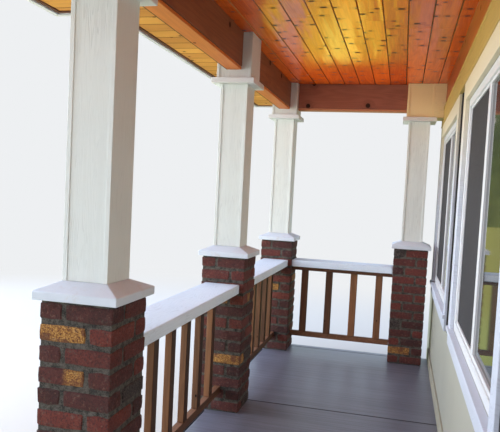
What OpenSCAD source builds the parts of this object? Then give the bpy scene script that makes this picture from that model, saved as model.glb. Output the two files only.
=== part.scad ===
// Front porch: brick piers with white boxed columns, a railing, a boarded
// ceiling under a low hipped roof, and the strip of house wall with sliding
// windows behind it.
// Millimetres. X runs from the front piers' inner faces (0) to the house (plus),
// Y along the porch from its middle, Z up from the ground under the slab.

/* [Plan] */
// Clear distance from the front piers' inner faces to the house wall
porch_depth = 1300; // [1000:5:2400]
// Clear width of the open entry bay
entry_bay = 2550; // [1800:10:3200]
// Clear width of the railed middle bay
middle_bay = 1576; // [1200:2:2400]
// Clear width of the railed far bay
far_bay = 1454; // [1200:2:2400]
// Gap between the wall piers and the house wall
wall_pier_gap = 72; // [20:1:120]

/* [Floor slab] */
// Height of the slab above the ground
slab_h = 120; // [80:5:300]
// Width of the kerb strip outside the edge joint
kerb_w = 63; // [40:1:90]
// Width of the open joint inside the kerb
edge_joint_w = 12; // [6:1:20]
// Depth of the open joint inside the kerb
edge_joint_d = 25; // [8:1:40]
// Width of the control joints across the floor
cross_joint_w = 6; // [4:1:12]
// Depth of the control joints
cross_joint_d = 12; // [5:1:30]

/* [Brick piers] */
// Side of the square piers
pier_w = 300; // [260:5:400]
// Height of one course of bricks with its joint
course_h = 80.3; // [65:0.1:90]
// Number of courses
courses = 13; // [8:1:15]
// Overhang of the cap past the brickwork
cap_overhang = 21; // [8:1:45]
// Height of the cap's upright edge
cap_edge = 33; // [20:1:60]
// Rise of the cap's slopes
cap_rise = 34; // [15:1:60]

/* [Columns] */
// Side of the square columns
column_w = 186; // [140:2:220]
// Width of the edge strips beside the sunk panels
strip_w = 19; // [12:1:40]
// Depth of the sunk panels
panel_d = 5; // [2:1:10]
// Height of the head blocks above the capitals
block_h = 297; // [260:1:420]
// Overhang of the head blocks past the columns
block_overhang = 24; // [12:1:36]
// Thickness of the capital's slab
capital_t = 35; // [20:1:60]
// Overhang of the capital's slab past the column
capital_overhang = 52; // [40:1:80]

/* [Beams] */
// Width of the beams
beam_w = 106; // [80:1:160]
// Height of the beams
beam_h = 242; // [180:1:250]

/* [Railing] */
// Height of the railing above the floor
rail_top = 866; // [700:1:1000]
// Width of the flat rail cap
rail_cap_w = 236; // [140:2:280]
// Thickness of the rail cap
rail_cap_t = 60; // [30:1:80]
// Width of the subrail under the cap
subrail_w = 90; // [50:1:130]
// Height of the subrail
subrail_h = 38; // [20:1:60]
// Side of the square balusters
baluster_w = 42; // [30:1:60]
// Wanted spacing of the balusters
baluster_spacing = 225; // [110:1:300]
// First gap of a front bay as a share of the spacing
front_end_share = 0.9; // [0.5:0.05:1]
// First gap of an end bay as a share of the spacing
side_end_share = 0.5; // [0.5:0.05:1]
// Thickness of the bottom rail
bottom_rail_w = 42; // [30:1:60]
// Height of the bottom rail
bottom_rail_h = 85; // [60:1:140]
// Gap under the bottom rail
bottom_rail_gap = 90; // [50:1:150]

/* [Ceiling and eaves] */
// Height of the ceiling above the floor
ceiling_h = 2519; // [2480:1:3000]
// Thickness of the ceiling boards
ceiling_t = 19; // [12:1:30]
// Drop of the soffits below the ceiling
soffit_drop = 139; // [80:1:200]
// Thickness of the soffit boards
soffit_t = 16; // [10:1:25]
// Reach of the front eave past the beams
front_eave = 324; // [200:2:500]
// Reach of the deeper eave over the entry past the beams
entry_eave = 638; // [560:2:900]
// Reach of the end eaves past the end beams
end_eave = 329; // [200:1:500]
// Run of the deeper eave past the entry bay's far pier
entry_past = 642; // [400:2:800]
// Width of the stained edge trim
edge_trim_w = 20; // [10:1:35]
// Height of the edge trim
edge_trim_h = 30; // [20:1:60]
// Drop of the edge trim below the soffit
edge_trim_drop = 6; // [2:1:12]
// Thickness of the fascia board
fascia_t = 25; // [16:1:40]
// Height of the fascia board
fascia_h = 165; // [130:1:220]
// Drop of the fascia board below the soffit
fascia_drop = 15; // [8:1:30]

/* [Gutters] */
// Width of a gutter at its top
gutter_w = 110; // [90:1:150]
// Width of a gutter at its foot
gutter_base = 70; // [50:1:85]
// Height of a gutter
gutter_h = 90; // [60:1:110]
// Sheet thickness of a gutter
gutter_t = 3; // [2:0.5:5]

/* [Roof] */
// Angle of the front slope beyond the entry, in degrees
roof_angle = 14; // [8:0.5:25]
// Reach of the deck past the fascia
roof_drip = 15; // [8:1:30]
// Thickness of the roof deck
deck_t = 18; // [12:1:30]
// Thickness of the shingles
shingle_t = 8; // [5:1:15]

/* [House wall] */
// Thickness of the wall
wall_t = 160; // [120:5:300]
// Reach of the wall past each end of the roof
wall_reach_end = 20; // [10:5:200]
// Reach of the wall above the roof
wall_reach_top = 90; // [40:5:300]
// Height of the trim along the wall's foot
base_trim_h = 110; // [60:5:200]
// Thickness of the trim along the wall's foot
base_trim_t = 12; // [8:1:25]
// Height of the frieze board under the ceiling
frieze_h = 205; // [80:1:240]
// Thickness of the frieze board
frieze_t = 10; // [8:1:35]
// Height of the head band above the windows
head_band_h = 159; // [100:1:400]
// Thickness of the head band
head_band_t = 26; // [15:1:40]

/* [Windows] */
// Width of a window over its casing
window_w = 1790; // [1400:5:1850]
// Gap between neighbouring windows
window_gap = 330; // [40:5:400]
// Offset of the middle window's centre from the porch's middle
window_shift = 280; // [0:10:300]
// Height of a window's lowest board above the floor
window_bottom = 660; // [550:5:900]
// Width of the casing boards
casing_w = 105; // [60:1:130]
// Thickness of the casing boards
casing_t = 22; // [15:1:35]
// Height of the board below the sill
apron_h = 78; // [40:1:120]
// Height of the sill's nosing
sill_h = 26; // [20:1:60]
// Reach of the sill's nosing from the wall
sill_reach = 34; // [26:1:80]
// Width of the window frame
frame_t = 45; // [30:1:60]
// Depth of the window frame
frame_d = 90; // [85:1:120]
// Distance of the front track from the wall's face
track_in = 8; // [6:1:20]
// Width of the bead round the fixed light
bead_w = 15; // [8:1:40]
// Width of the sliding sash's outer stile
stile_w = 50; // [40:1:100]
// Width of the two stiles that meet
meeting_stile_w = 45; // [35:1:110]
// Height of the sliding sash's rails
sash_rail_h = 50; // [40:1:90]
// Thickness of a sash
sash_t = 28; // [20:1:30]
// Gap between the two tracks
track_gap = 2; // [1:0.5:4]
// Thickness of the glass
glass_t = 4; // [3:1:8]

/* [Hidden] */

// Openings and notches are cut this far past the faces they pierce
cut = 10;

// Plan: the near end of each pier along Y, and the corners of all six piers
length = 4 * pier_w + entry_bay + middle_bay + far_bay;
end_y = length / 2;
pier_y = [-end_y, -end_y + pier_w + entry_bay, end_y - 2 * pier_w - far_bay, end_y - pier_w];
wall_x = porch_depth;
wall_pier_x = wall_x - wall_pier_gap - pier_w;
pier_xy = concat([for (y = pier_y) [-pier_w, y]],
    [[wall_pier_x, pier_y[0]], [wall_pier_x, pier_y[3]]]);

// Heights above the ground
floor_z = slab_h;
cap_z = floor_z + courses * course_h;
column_z = cap_z + cap_edge + cap_rise;
ceiling_z = floor_z + ceiling_h;
block_z = ceiling_z - block_h;
capital_z = block_z - capital_t;
beam_z = ceiling_z - beam_h;
soffit_z = ceiling_z - soffit_drop;

// Square sizes over the piers and their distance inside a pier's faces
cap_w = pier_w + 2 * cap_overhang;
capital_w = column_w + 2 * capital_overhang;
block_w = column_w + 2 * block_overhang;
block_in = (pier_w - block_w) / 2;
beam_in = (pier_w - beam_w) / 2;

// Eave lines at the soffits' outer edges
beam_x = -pier_w + beam_in;
beam_end_y = end_y - beam_in;
main_x = beam_x - front_eave;
entry_x = beam_x - entry_eave;
eave_y = beam_end_y + end_eave;
step_y = pier_y[1] + pier_w + entry_past;
eave_w = edge_trim_w + fascia_t;
fascia_z = soffit_z - fascia_drop;

// Roof: both slopes meet the wall at one height
roof_out = eave_w + roof_drip;
main_run = wall_x - main_x + roof_out;
entry_run = wall_x - entry_x + roof_out;
roof_rise = tan(roof_angle) * main_run;
roof_z = fascia_z + fascia_h - roof_drip * roof_rise / entry_run;
hip_y = eave_y + roof_out;
ridge_y = hip_y - main_run;

// Wall and windows
wall_y = hip_y + wall_reach_end;
wall_top_z = roof_z + roof_rise + deck_t + shingle_t + wall_reach_top;
panel_y = end_y - pier_w + block_in;
window_y = [for (i = [-1:1]) window_shift + i * (window_w + window_gap)];
opening_w = window_w - 2 * casing_w;
opening_z = floor_z + window_bottom + apron_h + sill_h;
head_band_z = ceiling_z - frieze_h - head_band_h;
opening_h = head_band_z - casing_w - opening_z;
light_w = opening_w - 2 * frame_t;
light_h = opening_h - 2 * frame_t;
sash_w = (light_w + meeting_stile_w) / 2;
track_x = [wall_x + track_in, wall_x + track_in + sash_t + track_gap];

BRICK = [0.43, 0.22, 0.18];
WHITE = [0.86, 0.87, 0.89];
BEAM = [0.38, 0.22, 0.14];
CEDAR = [0.60, 0.37, 0.21];
BOARD = [0.78, 0.44, 0.18];
CONCRETE = [0.45, 0.44, 0.44];
PANEL = [0.73, 0.70, 0.59];
OLIVE = [0.72, 0.64, 0.34];
SHINGLE = [0.26, 0.26, 0.27];

// Places its children on a pier's axis at a height
module on_pier(i, z)
    translate([pier_xy[i][0] + pier_w / 2, pier_xy[i][1] + pier_w / 2, z]) children();

// Upright post or slab, centred on its axis
module square_post(w, h)
    linear_extrude(h) square(w, center = true);

// Post with plain X faces and panels sunk into its Y faces
module panelled_post(w, h)
    linear_extrude(h) difference() {
        square(w, center = true);
        for (side = [-1, 1])
            translate([0, side * w / 2]) square([w - 2 * strip_w, 2 * panel_d], center = true);
    }

// Places its children at the start of a railed bay, to run along +Y from the
// pier's face: 0 middle bay, 1 far bay, 2 near end, 3 far end
module in_bay(k)
    if (k < 2) translate([-pier_w / 2, pier_y[k + 1] + pier_w, floor_z]) children();
    else translate([0, pier_y[k == 2 ? 0 : 3] + pier_w / 2, floor_z]) rotate([0, 0, -90]) children();

bay_run = [middle_bay, far_bay, wall_pier_x, wall_pier_x];

// One straight rail through a railed bay, its underside at z above the floor
module rail(k, w, h, z)
    in_bay(k) translate([-w / 2, 0, z]) cube([w, bay_run[k], h]);

module balusters(k) {
    share = k < 2 ? front_end_share : side_end_share;
    count = max(2, round(bay_run[k] / baluster_spacing - 2 * share + 1));
    pitch = bay_run[k] / (count - 1 + 2 * share);
    foot = bottom_rail_gap + bottom_rail_h;
    color(CEDAR) in_bay(k) for (i = [0:count - 1])
        translate([0, (i + share) * pitch, foot])
            square_post(baluster_w, rail_top - rail_cap_t - subrail_h - foot);
}

// Line of the eaves moved outwards, closed at back on the house side
function eave_outline(out, back) = [[back, -eave_y - out], [entry_x - out, -eave_y - out],
    [entry_x - out, step_y + out], [main_x - out, step_y + out],
    [main_x - out, eave_y + out], [back, eave_y + out]];

// Board that follows the eaves between two distances from the soffits' edge
module eave_board(from, to, h)
    linear_extrude(h) difference() {
        polygon(eave_outline(to, wall_x));
        polygon(eave_outline(from, wall_x + cut));
    }

// Sheet of roof, t thick measured upright: a front slope from its eave to the
// wall, with a hipped near end and a plain far end at far_y
module roof_sheet(eave_x, far_y, z, t) {
    plan = [[wall_x, -hip_y, 0], [eave_x, -hip_y, 0], [eave_x, far_y, 0],
        [wall_x, far_y, roof_rise], [wall_x, -ridge_y, roof_rise]];
    polyhedron(points = concat([for (p = plan) p + [0, 0, z + t]], [for (p = plan) p + [0, 0, z]]),
        faces = [[0, 1, 4], [1, 2, 3, 4], [5, 9, 6], [6, 9, 8, 7],
            [0, 5, 6, 1], [1, 6, 7, 2], [2, 7, 8, 3], [3, 8, 9, 4], [4, 9, 5, 0]]);
}

// Deeper sheet over the entry and the shallower one beyond it
module roof_sheets(z, t) {
    roof_sheet(entry_x - roof_out, step_y + roof_out, z, t);
    mirror([0, 1, 0]) roof_sheet(main_x - roof_out, -step_y - roof_out, z, t);
}

// Soffit sheet between two corners, notched round the head blocks and boxes
module soffit(low, high)
    difference() {
        translate([low[0], low[1], soffit_z])
            cube([high[0] - low[0], high[1] - low[1], soffit_t]);
        for (i = [0:5])
            on_pier(i, soffit_z - cut) square_post(block_w, soffit_t + 2 * cut);
        for (i = [4, 5])
            on_pier(i, soffit_z - cut) translate([0, -block_w / 2, 0])
                cube([pier_w, block_w, soffit_t + 2 * cut]);
    }

// Upright wall panel between two Y values and two heights
module wall_panel(y0, y1, z0, z1)
    translate([wall_x, y0, z0]) cube([wall_t, y1 - y0, z1 - z0]);

// Upright frame round a light: outer width and height, then its members' sizes
module upright_frame(w, h, left, right, rail_h, depth)
    difference() {
        cube([depth, w, h]);
        translate([-cut, left, rail_h])
            cube([depth + 2 * cut, w - left - right, h - 2 * rail_h]);
    }

// Half of a window: side -1 is the near one on the front track, 1 the far one behind
module in_half(y, side)
    translate([track_x[side < 0 ? 0 : 1], y + (side < 0 ? -light_w / 2 : light_w / 2 - sash_w),
        opening_z + frame_t]) children();

module porch_slab() {
    joint_z = slab_h - edge_joint_d;
    cross_x = -pier_w + kerb_w + edge_joint_w / 2;
    cross_y = pier_y[2] + pier_w;
    color(CONCRETE) difference() {
        translate([-pier_w, -end_y, 0]) cube([pier_w + wall_x, length, slab_h]);
        for (i = [0:2])
            translate([-pier_w + kerb_w, pier_y[i] + pier_w, joint_z])
                cube([edge_joint_w, pier_y[i + 1] - pier_y[i] - pier_w, edge_joint_d + cut]);
        for (side = [-1, 1])
            translate([0, side * (end_y - kerb_w - edge_joint_w / 2) - edge_joint_w / 2, joint_z])
                cube([wall_pier_x, edge_joint_w, edge_joint_d + cut]);
        for (y = [-cross_y - cross_joint_w, cross_y])
            translate([cross_x, y, slab_h - cross_joint_d])
                cube([wall_x - cross_x + cut, cross_joint_w, cross_joint_d + cut]);
    }
}

module brick_pier(i) color(BRICK) on_pier(i, floor_z) square_post(pier_w, courses * course_h);
module pier_entry_near() brick_pier(0);
module pier_entry_far() brick_pier(1);
module pier_middle() brick_pier(2);
module pier_far_corner() brick_pier(3);
module pier_wall_near() brick_pier(4);
module pier_wall_far() brick_pier(5);

// Flat cap with four slopes that rise to the column's foot
module pier_caps()
    color(WHITE) for (i = [0:5]) on_pier(i, cap_z) {
        square_post(cap_w, cap_edge);
        translate([0, 0, cap_edge])
            linear_extrude(cap_rise, scale = column_w / cap_w) square(cap_w, center = true);
    }

module front_columns()
    color(WHITE) for (i = [0:3]) on_pier(i, column_z) panelled_post(column_w, capital_z - column_z);

module wall_columns()
    color(WHITE) for (i = [4, 5]) on_pier(i, column_z) panelled_post(column_w, capital_z - column_z);

// Flat projecting slabs under the head blocks
module column_capitals()
    color(WHITE) for (i = [0:5]) on_pier(i, capital_z) square_post(capital_w, capital_t);

module head_blocks()
    color(WHITE) for (i = [0:5]) on_pier(i, block_z) panelled_post(block_w, block_h);

// Boxes that carry the end beams' line on to the house wall
module wall_head_boxes()
    color(WHITE) for (i = [4, 5]) on_pier(i, block_z) translate([block_w / 2, -block_w / 2, 0])
        cube([block_in + wall_pier_gap, block_w, block_h]);

// Front beam over bay i, let into the sunk panels of the head blocks
module front_beam(i)
    color(BEAM) translate([beam_x, pier_y[i] + pier_w - block_in - panel_d, beam_z])
        cube([beam_w, pier_y[i + 1] - pier_y[i] - pier_w + 2 * (block_in + panel_d), beam_h]);
module entry_beam() front_beam(0);
module middle_beam() front_beam(1);
module far_beam() front_beam(2);

// End beam from a corner block to the block over the wall pier
module end_beam(i)
    color(BEAM) translate([-block_in, pier_y[i] + beam_in, beam_z])
        cube([wall_pier_x + 2 * block_in, beam_w, beam_h]);
module near_end_beam() end_beam(0);
module far_end_beam() end_beam(3);

module rail_caps()
    color(WHITE) for (k = [0:3]) rail(k, rail_cap_w, rail_cap_t, rail_top - rail_cap_t);

module subrails()
    color(BEAM) for (k = [0:3]) rail(k, subrail_w, subrail_h, rail_top - rail_cap_t - subrail_h);

module bottom_rails()
    color(CEDAR) for (k = [0:3]) rail(k, bottom_rail_w, bottom_rail_h, bottom_rail_gap);

module balusters_middle_bay() balusters(0);
module balusters_far_bay() balusters(1);
module balusters_near_end() balusters(2);
module balusters_far_end() balusters(3);

module ceiling()
    color(BOARD) translate([beam_x, -beam_end_y, ceiling_z])
        cube([wall_x - beam_x, 2 * beam_end_y, ceiling_t]);

module wall_frieze()
    color(BOARD) translate([wall_x - frieze_t, -panel_y, ceiling_z - frieze_h])
        cube([frieze_t, 2 * panel_y, frieze_h]);

// Flat band between the windows' heads and the frieze, its foot running on
// under the boxes at the wall
module wall_head_band()
    color(OLIVE) translate([wall_x - head_band_t, 0, head_band_z]) {
        translate([0, -panel_y, 0]) cube([head_band_t, 2 * panel_y, head_band_h]);
        if (block_z > head_band_z) translate([0, -panel_y - block_w, 0])
            cube([head_band_t, 2 * (panel_y + block_w), block_z - head_band_z]);
    }

module front_soffit() color(BOARD) soffit([main_x, step_y], [beam_x, eave_y]);
module entry_soffit() color(BOARD) soffit([entry_x, -eave_y], [beam_x, step_y]);
module end_soffits()
    color(BOARD) {
        soffit([beam_x, -eave_y], [wall_x, -beam_end_y]);
        soffit([beam_x, beam_end_y], [wall_x, eave_y]);
    }

module soffit_edge_trim()
    color(BEAM) translate([0, 0, soffit_z - edge_trim_drop]) eave_board(0, edge_trim_w, edge_trim_h);

// Fascia board, its top cut to the slope of the roof
module fascia()
    color(WHITE) difference() {
        translate([0, 0, fascia_z]) eave_board(edge_trim_w, eave_w, fascia_h + cut);
        roof_sheets(roof_z, 4 * cut);
    }

// Trough along a front eave from y0 to y1, with closed ends
module gutter(eave_x, y0, y1) {
    inner = gutter_w - gutter_t;
    translate([eave_x - eave_w, y1, roof_z - gutter_t - gutter_h]) rotate([90, 0, 0])
        difference() {
            linear_extrude(y1 - y0) polygon([[0, 0], [-gutter_base, 0],
                [-gutter_w, gutter_h - gutter_base / 2], [-gutter_w, gutter_h], [0, gutter_h]]);
            translate([0, 0, gutter_t]) linear_extrude(y1 - y0 - 2 * gutter_t)
                polygon([[-gutter_t, gutter_t], [-gutter_base, gutter_t],
                    [-inner, gutter_h - gutter_base / 2], [-inner, gutter_h + cut],
                    [-gutter_t, gutter_h + cut]]);
        }
}

module gutters()
    color(WHITE) {
        gutter(entry_x, -eave_y - eave_w, step_y + eave_w);
        gutter(main_x, step_y + eave_w, eave_y + eave_w);
    }

// Boarded deck with an upright board that closes the step between the sheets
module roof_deck() {
    low_x = entry_x - roof_out;
    mid_x = main_x - roof_out;
    color(CEDAR) {
        roof_sheets(roof_z, deck_t);
        translate([0, step_y + roof_out, roof_z]) rotate([90, 0, 0]) linear_extrude(deck_t)
            polygon([[low_x, 0], [mid_x, 0], [wall_x, roof_rise], [wall_x, roof_rise + deck_t / 2],
                [low_x, deck_t / 2]]);
    }
}

module roof_shingles() color(SHINGLE) roof_sheets(roof_z + deck_t, shingle_t);

module wall_below_windows() color(PANEL) wall_panel(-wall_y, wall_y, 0, opening_z);
module wall_above_windows()
    color(PANEL) wall_panel(-wall_y, wall_y, opening_z + opening_h, wall_top_z);
module wall_end_panels()
    color(PANEL) {
        wall_panel(-wall_y, window_y[0] - opening_w / 2, opening_z, opening_z + opening_h);
        wall_panel(window_y[2] + opening_w / 2, wall_y, opening_z, opening_z + opening_h);
    }
module wall_window_posts()
    color(PANEL) for (i = [0, 1])
        wall_panel(window_y[i] + opening_w / 2, window_y[i + 1] - opening_w / 2,
            opening_z, opening_z + opening_h);

module wall_base_trim()
    color(PANEL) translate([wall_x - base_trim_t, -end_y, floor_z])
        cube([base_trim_t, length, base_trim_h]);

// Casing boards round each opening, with a projecting nosing and a board below
module window_casings()
    color(WHITE) for (y = window_y) {
        translate([wall_x - casing_t, y - window_w / 2, opening_z]) difference() {
            cube([casing_t, window_w, opening_h + casing_w]);
            translate([-cut, casing_w, -cut]) cube([casing_t + 2 * cut, opening_w, opening_h + cut]);
        }
        translate([wall_x - sill_reach, y - window_w / 2, opening_z - sill_h])
            cube([sill_reach, window_w, sill_h]);
        translate([wall_x - casing_t, y - window_w / 2, opening_z - sill_h - apron_h])
            cube([casing_t, window_w, apron_h]);
    }

module window_frames()
    color(WHITE) for (y = window_y) translate([wall_x, y - opening_w / 2, opening_z])
        upright_frame(opening_w, opening_h, frame_t, frame_t, frame_t, frame_d);

// Beaded fixed light and the sliding sash behind it in each window
module window_sashes()
    color(WHITE) for (y = window_y) {
        in_half(y, -1) upright_frame(sash_w, light_h, bead_w, meeting_stile_w, bead_w, sash_t);
        in_half(y, 1) upright_frame(sash_w, light_h, meeting_stile_w, stile_w, sash_rail_h, sash_t);
    }

// Pane of one half, between members of the given sizes
module pane(left, right, rail_h)
    translate([(sash_t - glass_t) / 2, left, rail_h])
        cube([glass_t, sash_w - left - right, light_h - 2 * rail_h]);

module window_glass()
    color([0.30, 0.32, 0.34]) for (y = window_y) {
        in_half(y, -1) pane(bead_w, meeting_stile_w, bead_w);
        in_half(y, 1) pane(meeting_stile_w, stile_w, sash_rail_h);
    }

porch_slab();
pier_entry_near();
pier_entry_far();
pier_middle();
pier_far_corner();
pier_wall_near();
pier_wall_far();
pier_caps();
front_columns();
wall_columns();
column_capitals();
head_blocks();
wall_head_boxes();
entry_beam();
middle_beam();
far_beam();
near_end_beam();
far_end_beam();
rail_caps();
subrails();
bottom_rails();
balusters_middle_bay();
balusters_far_bay();
balusters_near_end();
balusters_far_end();
ceiling();
wall_frieze();
wall_head_band();
front_soffit();
entry_soffit();
end_soffits();
soffit_edge_trim();
fascia();
gutters();
roof_deck();
roof_shingles();
wall_below_windows();
wall_above_windows();
wall_end_panels();
wall_window_posts();
wall_base_trim();
window_casings();
window_frames();
window_sashes();
window_glass();
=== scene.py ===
import math
import random

import bpy
from mathutils import Matrix, Vector


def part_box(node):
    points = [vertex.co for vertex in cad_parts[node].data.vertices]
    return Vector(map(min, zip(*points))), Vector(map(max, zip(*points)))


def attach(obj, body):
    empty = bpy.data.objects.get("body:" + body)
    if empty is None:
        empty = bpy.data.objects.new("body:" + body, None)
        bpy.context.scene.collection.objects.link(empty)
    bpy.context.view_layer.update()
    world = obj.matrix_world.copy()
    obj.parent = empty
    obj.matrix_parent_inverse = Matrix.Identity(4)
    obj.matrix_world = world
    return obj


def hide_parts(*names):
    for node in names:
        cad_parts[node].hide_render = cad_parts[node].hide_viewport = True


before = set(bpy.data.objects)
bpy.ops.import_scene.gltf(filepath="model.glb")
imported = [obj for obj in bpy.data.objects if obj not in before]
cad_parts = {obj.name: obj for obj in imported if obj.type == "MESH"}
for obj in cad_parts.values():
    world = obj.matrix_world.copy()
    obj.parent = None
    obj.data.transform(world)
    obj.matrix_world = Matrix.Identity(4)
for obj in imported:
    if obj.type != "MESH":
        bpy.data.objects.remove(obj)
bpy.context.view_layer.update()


# Camera: it stands in the open entry bay near the house wall and looks along
# the porch to the far corner, turned a little to the open side and tilted,
# with its lens raised a little.
def linked(name, data):
    """A new object of the scene with this data."""
    piece = bpy.data.objects.new(name, data)
    bpy.context.scene.collection.objects.link(piece)
    return piece


EYE, TURN, DIP, TILT = (0.9747, -2.5049, 1.5921), 0.2434, 0.0599, 0.0510
LENS_MM, LENS_RISE, NEAR_LIMIT = 43.653, 0.0275, 0.02
ahead = Vector((-math.sin(TURN) * math.cos(DIP), math.cos(TURN) * math.cos(DIP), -math.sin(DIP)))
level = Vector((math.cos(TURN), math.sin(TURN), 0))
upright = level.cross(ahead)
right = level * math.cos(TILT) + upright * math.sin(TILT)
up = upright * math.cos(TILT) - level * math.sin(TILT)
camera = linked("camera", bpy.data.cameras.new("camera"))
camera.data.lens, camera.data.shift_y, camera.data.clip_start = LENS_MM, LENS_RISE, NEAR_LIMIT
camera.matrix_world = Matrix.Translation(EYE) @ Matrix((right, up, -ahead)).transposed().to_4x4()
bpy.context.scene.camera = camera
bpy.context.scene.view_settings.view_transform = "Standard"


# Stage: a pale ground that fades into a pale surround, a cool sky above, warm
# light thrown back from the ground, and large lamps beyond the open sides.
def srgb(red, green, blue):
    """Linear colour from the three 0-255 numbers of a paint sample."""
    parts = [part / 255 for part in (red, green, blue)]
    return tuple(p / 12.92 if p < 0.04045 else ((p + 0.055) / 1.055) ** 2.4 for p in parts) + (1,)


def lone(piece):
    """Selects this piece alone and makes it the active one."""
    bpy.ops.object.select_all(action="DESELECT")
    piece.select_set(True)
    bpy.context.view_layer.objects.active = piece
    return piece


def add_node(tree, kind, settings=None, sockets=None):
    """A shader node with its settings, then its sockets given values or other nodes' outputs."""
    made = tree.nodes.new("ShaderNode" + kind)
    for key, value in (settings or {}).items():
        if key == "stops":
            while len(made.color_ramp.elements) < len(value):
                made.color_ramp.elements.new(0.5)
            for stop, (place, colour) in zip(made.color_ramp.elements, value):
                stop.position, stop.color = place, colour
        else:
            setattr(made, key, value)
    for key, value in (sockets or {}).items():
        if isinstance(value, bpy.types.NodeSocket):
            tree.links.new(value, made.inputs[key])
        else:
            made.inputs[key].default_value = value
    return made


def mix(tree, factor, first, second, how="MIX"):
    """A colour between two, by a factor."""
    node = add_node(tree, "Mix", {"data_type": "RGBA", "blend_type": how}, {0: factor, 6: first, 7: second})
    return node.outputs[2]


def ramp(tree, value, stops):
    """A colour read from stops, each a place from 0 to 1 and a colour."""
    return add_node(tree, "ValToRGB", {"stops": stops}, {0: value}).outputs[0]


SURROUND, BOUNCE, SHINY_BOUNCE, LIT_GROUND = (srgb(238, 240, 242), srgb(206, 203, 178), srgb(184, 182, 96),
                                              srgb(206, 200, 190))
SKY_STRENGTH, MOTTLE_SHARE = 1.45, 0.75
GROUND_SIZE, GROUND_Z, FADE_FROM, FADE_TO = 90, -0.002, 3.6, 9.0
world = bpy.data.worlds.new("sky")
world.use_nodes = True
bpy.context.scene.world = world
tree = world.node_tree
tree.nodes.clear()
paths = add_node(tree, "LightPath")
heading = add_node(tree, "TexCoord").outputs["Generated"]
height = add_node(tree, "SeparateXYZ", None, {0: heading}).outputs["Z"]
cool = ramp(tree, height, [(0.0, srgb(232, 238, 242)), (0.25, srgb(222, 234, 252)), (0.8, srgb(192, 216, 255))])
mirrored = ramp(tree, height, [(0.0, srgb(150, 158, 78)), (0.08, srgb(120, 134, 64)),
                               (0.34, srgb(150, 162, 140)), (0.62, srgb(226, 234, 242))])
mottle = add_node(tree, "TexNoise", None, {"Vector": heading, "Scale": 9.0, "Detail": 6.0, "Roughness": 0.7})
mottle = ramp(tree, mottle.outputs[0], [(0.40, srgb(66, 78, 44)), (0.60, srgb(240, 244, 232))])
mirrored = mix(tree, MOTTLE_SHARE, mirrored, mottle, "MULTIPLY")
lit, shown, gloss = [add_node(tree, "Background", None, {"Color": colour, "Strength": strength}).outputs[0]
                     for colour, strength in ((cool, SKY_STRENGTH), (SURROUND, 1.0), (mirrored, 1.0))]
both = add_node(tree, "MixShader", None, {0: paths.outputs["Is Glossy Ray"], 1: lit, 2: gloss}).outputs[0]
add_node(tree, "OutputWorld", None, {"Surface": add_node(
    tree, "MixShader", None, {0: paths.outputs["Is Camera Ray"], 1: both, 2: shown}).outputs[0]})

bpy.ops.mesh.primitive_plane_add(size=GROUND_SIZE, location=(0, 0, GROUND_Z))
ground = bpy.context.object
ground.name = "ground"
ground_paint = bpy.data.materials.new("pale_ground")
ground_paint.use_nodes = True
tree = ground_paint.node_tree
paint = tree.nodes["Principled BSDF"]
paths = add_node(tree, "LightPath")
thrown_back = mix(tree, paths.outputs["Is Glossy Ray"], BOUNCE, SHINY_BOUNCE)
near_colour = mix(tree, paths.outputs["Is Camera Ray"], thrown_back, LIT_GROUND)
tree.links.new(near_colour, paint.inputs["Base Color"])
paint.inputs["Roughness"].default_value = 0.9
paint.inputs["Specular IOR Level"].default_value = 0.0
far_colour = mix(tree, paths.outputs["Is Camera Ray"], thrown_back, SURROUND)
far_light = add_node(tree, "Emission", None, {"Color": far_colour}).outputs[0]
spot = add_node(tree, "TexCoord").outputs["Object"]
away = add_node(tree, "VectorMath", {"operation": "LENGTH"}, {0: spot}).outputs["Value"]
fade = add_node(tree, "MapRange", {"interpolation_type": "SMOOTHSTEP"},
                {"Value": away, "From Min": FADE_FROM, "From Max": FADE_TO}).outputs[0]
ground_out = tree.nodes["Material Output"]
tree.links.new(add_node(tree, "MixShader", None, {0: fade, 1: paint.outputs[0], 2: far_light}).outputs[0],
               ground_out.inputs["Surface"])
ground.data.materials.append(ground_paint)


def soft_lamp(name, place, target, wide, high, power, colour, dark_to="camera", receivers=None):
    """Rectangular lamp that the camera and the rays named by dark_to don't see, for all pieces or for receivers."""
    lamp = bpy.data.lights.new(name, "AREA")
    lamp.shape = "RECTANGLE"
    lamp.size, lamp.size_y, lamp.energy, lamp.color = wide, high, power, colour[:3]
    holder = linked(name, lamp)
    holder.location = place
    holder.rotation_mode = "QUATERNION"
    holder.rotation_quaternion = (Vector(target) - Vector(place)).to_track_quat("-Z", "Y")
    holder.visible_camera = False
    setattr(holder, "visible_" + dark_to, False)
    if receivers:
        holder.light_linking.receiver_collection = receivers


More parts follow.
